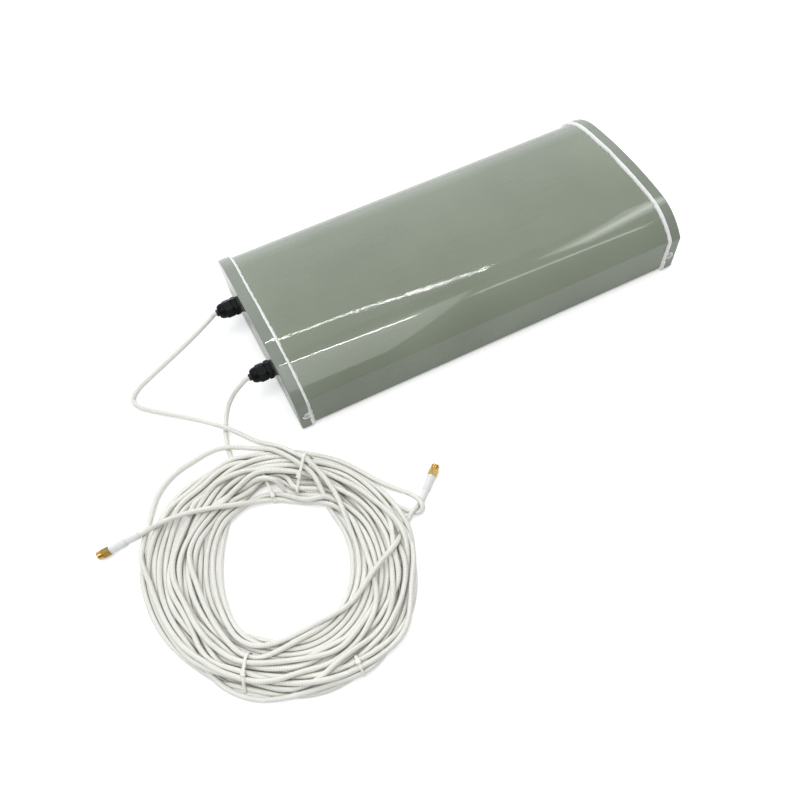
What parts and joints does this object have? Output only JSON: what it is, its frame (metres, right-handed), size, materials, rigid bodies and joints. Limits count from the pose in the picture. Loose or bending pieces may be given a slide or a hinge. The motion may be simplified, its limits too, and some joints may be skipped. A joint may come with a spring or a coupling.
{
  "type": "yagi antenna",
  "caption": "Panel yagi antenna: a D-section radome with sealed end caps, two cable glands and two coaxial tails run into one tied coil, ending in screw-on plugs.",
  "frame": {"origin": "middle of the four M6 inserts in the flat back, on the plane the end caps rest on", "axes": "+X from the gland end to the far end, +Z towards the crown of the radome; the coil lies on the same plane beside the gland end at -X, -Y"},
  "size_m": [0.6457, 0.4591, 0.062],
  "materials": {
    "radome_gloss": "glossy pale grey-green moulded skin",
    "cap_gloss": "glossy grey-green, a touch lighter and bluer than the radome",
    "sealant": "hand-laid white silicone",
    "screw_steel": "bright zinc-plated steel",
    "gland_nylon": "black moulded nylon, fine grain",
    "black_rubber": "black rubber",
    "cable_jacket": "white jacket over a ribbed braid, soft sheen",
    "shrink_sleeve": "smooth white heat-shrink",
    "gold_plate": "gold-plated brass, lightly worn",
    "spring_ring": "beryllium copper spring",
    "ptfe": "white PTFE",
    "plug_gasket": "silicone rubber ring",
    "array_aluminium": "drawn aluminium, satin",
    "feed_box_plastic": "black moulded plastic",
    "board": "green solder mask",
    "coax_core": "stripped braid and copper core",
    "tie_nylon": "natural translucent nylon",
    "former_plastic": "grey moulded plastic",
    "plate_aluminium": "sheet aluminium, mill finish",
    "insert_brass": "plain brass"
  },
  "bodies": {
    "antenna": {"boom_a": "array_aluminium", "boom_b": "array_aluminium", "boom_former_front": "former_plastic", "boom_former_rear": "former_plastic", "cable_tie_1": "tie_nylon", "cable_tie_2": "tie_nylon", "cable_tie_3": "tie_nylon", "cable_tie_4": "tie_nylon", "cap_screws": "screw_steel", "coax_cable_a": "cable_jacket", "coax_cable_b": "cable_jacket", "coax_stripped_end_a": "coax_core", "coax_stripped_end_b": "coax_core", "crimp_ferrule_a": "gold_plate", "crimp_ferrule_b": "gold_plate", "directors_a": "array_aluminium", "directors_b": "array_aluminium", "element_screws": "screw_steel", "far_end_cap": "cap_gloss", "feed_board_a": "board", "feed_board_b": "board", "feed_box_a": "feed_box_plastic", "feed_box_b": "feed_box_plastic", "feed_box_lid_a": "feed_box_plastic", "feed_box_lid_b": "feed_box_plastic", "folded_dipole_a": "array_aluminium", "folded_dipole_b": "array_aluminium", "gland_body_a": "gland_nylon", "gland_body_b": "gland_nylon", "gland_end_cap": "cap_gloss", "gland_locknut_a": "gland_nylon", "gland_locknut_b": "gland_nylon", "gland_washer_a": "black_rubber", "gland_washer_b": "black_rubber", "heat_shrink_a": "shrink_sleeve", "heat_shrink_b": "shrink_sleeve", "mount_inserts": "insert_brass", "mounting_plate": "plate_aluminium", "radome_shell": "radome_gloss", "reflector_a": "array_aluminium", "reflector_b": "array_aluminium", "sealant_bead_far_end": "sealant", "sealant_bead_gland_end": "sealant", "sma_body_a": "gold_plate", "sma_body_b": "gold_plate", "sma_centre_pin_a": "gold_plate", "sma_centre_pin_b": "gold_plate", "sma_dielectric_a": "ptfe", "sma_dielectric_b": "ptfe", "sma_gasket_a": "plug_gasket", "sma_gasket_b": "plug_gasket"},
    "seal_a": {"gland_seal_a": "black_rubber"},
    "dome_nut_a": {"gland_dome_nut_a": "gland_nylon"},
    "snap_ring_a": {"sma_snap_ring_a": "spring_ring"},
    "coupling_nut_a": {"sma_coupling_nut_a": "gold_plate"},
    "seal_b": {"gland_seal_b": "black_rubber"},
    "dome_nut_b": {"gland_dome_nut_b": "gland_nylon"},
    "snap_ring_b": {"sma_snap_ring_b": "spring_ring"},
    "coupling_nut_b": {"sma_coupling_nut_b": "gold_plate"}
  },
  "joints": [
    {"name": "gland_a_seal_slide", "type": "slide", "parent": "antenna", "child": "seal_a", "axis": [-1, 0, 0], "range_m": [0, 0.0023]},
    {"name": "gland_a_nut_spin", "type": "hinge", "parent": "seal_a", "child": "dome_nut_a", "pos_m": [-0.23, 0.046, 0.03], "axis": [-1, 0, 0], "range_deg": [0, 540]},
    {"name": "plug_a_nut_float", "type": "slide", "parent": "antenna", "child": "snap_ring_a", "axis": [-0.9969, -0.0161, -0.0766], "range_m": [0, 0.0006]},
    {"name": "plug_a_nut_spin", "type": "hinge", "parent": "snap_ring_a", "child": "coupling_nut_a", "pos_m": [-0.42467, -0.14228, 0.00471], "axis": [-0.9969, -0.0161, -0.0766], "continuous": true},
    {"name": "gland_b_seal_slide", "type": "slide", "parent": "antenna", "child": "seal_b", "axis": [-1, 0, 0], "range_m": [0, 0.0023]},
    {"name": "gland_b_nut_spin", "type": "hinge", "parent": "seal_b", "child": "dome_nut_b", "pos_m": [-0.23, -0.046, 0.03], "axis": [-1, 0, 0], "range_deg": [0, 540]},
    {"name": "plug_b_nut_float", "type": "slide", "parent": "antenna", "child": "snap_ring_b", "axis": [0.7341, 0.679, 0], "range_m": [0, 0.0006]},
    {"name": "plug_b_nut_spin", "type": "hinge", "parent": "snap_ring_b", "child": "coupling_nut_b", "pos_m": [-0.12561, -0.20868, 0.00415], "axis": [0.7341, 0.679, 0], "continuous": true}
  ],
  "couplings": [
    {"joint": "gland_a_seal_slide", "follows": "gland_a_nut_spin", "m_per_rad": 0.00023873},
    {"joint": "gland_b_seal_slide", "follows": "gland_b_nut_spin", "m_per_rad": 0.00023873}
  ]
}
